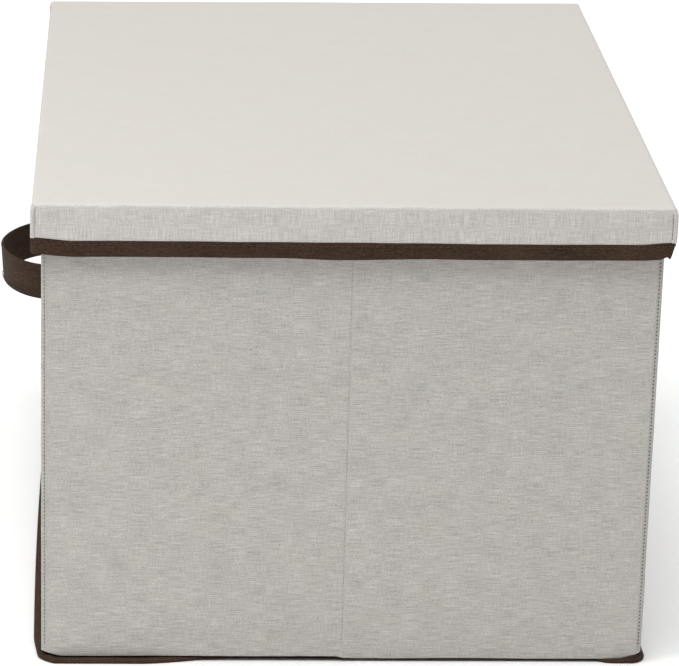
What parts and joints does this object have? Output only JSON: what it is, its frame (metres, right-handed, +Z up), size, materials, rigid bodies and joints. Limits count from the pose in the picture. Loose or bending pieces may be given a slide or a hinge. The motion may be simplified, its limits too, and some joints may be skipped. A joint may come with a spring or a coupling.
{
  "type": "fabric storage bin",
  "caption": "Rectangular cloth-covered storage box with a lift-off lid, bound hems, side strap handles and fold lines in its short ends for flat storage.",
  "frame": {"origin": "middle of the footprint, on the surface that the bin stands on", "axes": "+X to the right seen from the folding front end, +Y along the long sides to the back end, +Z up"},
  "size_m": [0.4718, 0.5442, 0.32],
  "materials": {
    "linen_cloth": "matt linen-look weave with fine slubs and small brown flecks",
    "brown_binding": "matt dark brown non-woven tape, sewn",
    "cardboard": "plain grey-brown board",
    "lining_cloth": "matt plain thin cloth"
  },
  "bodies": {
    "left_wall": {"left_cover": "linen_cloth", "left_board": "cardboard", "left_lining": "lining_cloth", "left_rim": "brown_binding", "base_cloth": "linen_cloth", "base_binding": "brown_binding", "bottom_board": "cardboard", "bottom_board_cover": "lining_cloth", "left_handle_front_tab": "brown_binding", "left_handle_back_tab": "brown_binding"},
    "front_left_leaf": {"front_left_cover": "linen_cloth", "front_left_board": "cardboard", "front_left_lining": "lining_cloth", "front_left_rim": "brown_binding"},
    "front_right_leaf": {"front_right_cover": "linen_cloth", "front_right_board": "cardboard", "front_right_lining": "lining_cloth", "front_right_rim": "brown_binding"},
    "right_wall": {"right_cover": "linen_cloth", "right_board": "cardboard", "right_lining": "lining_cloth", "right_rim": "brown_binding", "right_handle_front_tab": "brown_binding", "right_handle_back_tab": "brown_binding"},
    "back_left_leaf": {"back_left_cover": "linen_cloth", "back_left_board": "cardboard", "back_left_lining": "lining_cloth", "back_left_rim": "brown_binding"},
    "back_right_leaf": {"back_right_cover": "linen_cloth", "back_right_board": "cardboard", "back_right_lining": "lining_cloth", "back_right_rim": "brown_binding"},
    "left_handle": {"left_handle_strap": "brown_binding"},
    "right_handle": {"right_handle_strap": "brown_binding"},
    "lid": {"lid_cover": "linen_cloth", "lid_top_board": "cardboard", "lid_left_board": "cardboard", "lid_right_board": "cardboard", "lid_front_board": "cardboard", "lid_back_board": "cardboard", "lid_lining": "lining_cloth", "lid_hem": "brown_binding"}
  },
  "joints": [
    {"name": "end_fold", "type": "hinge", "parent": "left_wall", "child": "front_left_leaf", "pos_m": [-0.195, -0.26, 0.16], "axis": [0, 0, 1], "range_deg": [0, 90], "deforming": ["base_cloth", "base_binding"]},
    {"name": "front_seam_fold", "type": "hinge", "parent": "front_left_leaf", "child": "front_right_leaf", "pos_m": [0, -0.2655, 0.16], "axis": [0, 0, 1], "range_deg": [-180, 0]},
    {"name": "right_wall_fold", "type": "hinge", "parent": "front_right_leaf", "child": "right_wall", "pos_m": [0.195, -0.26, 0.16], "axis": [0, 0, 1], "range_deg": [0, 90]},
    {"name": "back_left_fold", "type": "hinge", "parent": "left_wall", "child": "back_left_leaf", "pos_m": [-0.195, 0.26, 0.16], "axis": [0, 0, 1], "range_deg": [-90, 0]},
    {"name": "back_seam_fold", "type": "hinge", "parent": "back_left_leaf", "child": "back_right_leaf", "pos_m": [0, 0.2655, 0.16], "axis": [0, 0, 1], "range_deg": [0, 180]},
    {"name": "left_handle_swing", "type": "hinge", "parent": "left_wall", "child": "left_handle", "pos_m": [-0.2025, 0, 0.193], "axis": [0, 1, 0], "range_deg": [-35, 50]},
    {"name": "right_handle_swing", "type": "hinge", "parent": "right_wall", "child": "right_handle", "pos_m": [0.2025, 0, 0.193], "axis": [0, -1, 0], "range_deg": [-35, 50]},
    {"name": "lid_lift", "type": "slide", "parent": "left_wall", "child": "lid", "axis": [0, 0, 1], "range_m": [0, 0.3]}
  ],
  "couplings": [
    {"joint": "front_seam_fold", "follows": "end_fold", "ratio": -2},
    {"joint": "right_wall_fold", "follows": "end_fold", "ratio": 1},
    {"joint": "back_left_fold", "follows": "end_fold", "ratio": -1},
    {"joint": "back_seam_fold", "follows": "end_fold", "ratio": 2}
  ]
}
